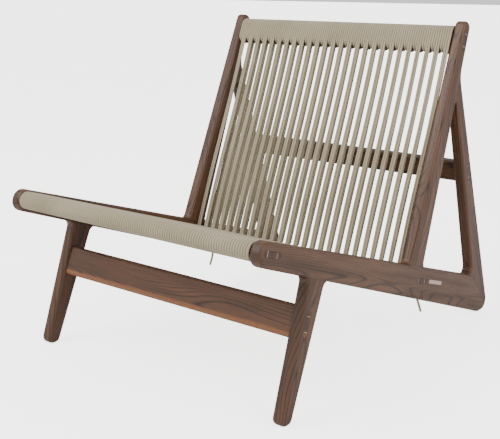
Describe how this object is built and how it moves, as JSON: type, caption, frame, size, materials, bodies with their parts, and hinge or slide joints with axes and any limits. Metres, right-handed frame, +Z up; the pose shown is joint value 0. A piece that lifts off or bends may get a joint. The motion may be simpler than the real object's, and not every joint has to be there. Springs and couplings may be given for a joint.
{
  "type": "lounge chair",
  "caption": "Low armless lounge chair with flat timber side frames, cross rails held by wedged through tenons, and a seat and back strung with round cord.",
  "frame": {"origin": "on the floor, under the middle of the bounding box", "axes": "+Z up, -Y the way the sitter faces, +X to the sitter's left"},
  "size_m": [0.69, 0.9745, 0.7473],
  "materials": {
    "timber": "oiled walnut, satin",
    "pale_timber": "bare pale hardwood",
    "cord": "round braided cord, matt",
    "plate": "brushed, blank"
  },
  "bodies": {
    "root": {"back_bar": "timber", "back_bar_wedge_lower_left": "pale_timber", "back_bar_wedge_lower_right": "pale_timber", "back_bar_wedge_upper_left": "pale_timber", "back_bar_wedge_upper_right": "pale_timber", "back_cord": "cord", "back_post_left": "timber", "back_post_right": "timber", "cord_tail_left": "cord", "cord_tail_right": "cord", "crown_tenon_left": "pale_timber", "crown_tenon_right": "pale_timber", "front_leg_left": "timber", "front_leg_right": "timber", "front_rail": "timber", "front_rail_wedge_lower_left": "pale_timber", "front_rail_wedge_lower_right": "pale_timber", "front_rail_wedge_upper_left": "pale_timber", "front_rail_wedge_upper_right": "pale_timber", "front_stretcher": "timber", "front_stretcher_wedge_lower_left": "pale_timber", "front_stretcher_wedge_lower_right": "pale_timber", "front_stretcher_wedge_upper_left": "pale_timber", "front_stretcher_wedge_upper_right": "pale_timber", "heel_tenon_left": "pale_timber", "heel_tenon_right": "pale_timber", "leg_tenon_left": "pale_timber", "leg_tenon_right": "pale_timber", "post_tenon_left": "pale_timber", "post_tenon_right": "pale_timber", "rear_leg_left": "timber", "rear_leg_right": "timber", "rear_rail": "timber", "rear_rail_wedge_lower_left": "pale_timber", "rear_rail_wedge_lower_right": "pale_timber", "rear_rail_wedge_upper_left": "pale_timber", "rear_rail_wedge_upper_right": "pale_timber", "seat_cord": "cord", "seat_rail_left": "timber", "seat_rail_right": "timber", "side_plate": "plate", "top_rail": "timber", "top_rail_wedge_lower_left": "pale_timber", "top_rail_wedge_lower_right": "pale_timber", "top_rail_wedge_upper_left": "pale_timber", "top_rail_wedge_upper_right": "pale_timber"}
  },
  "joints": []
}
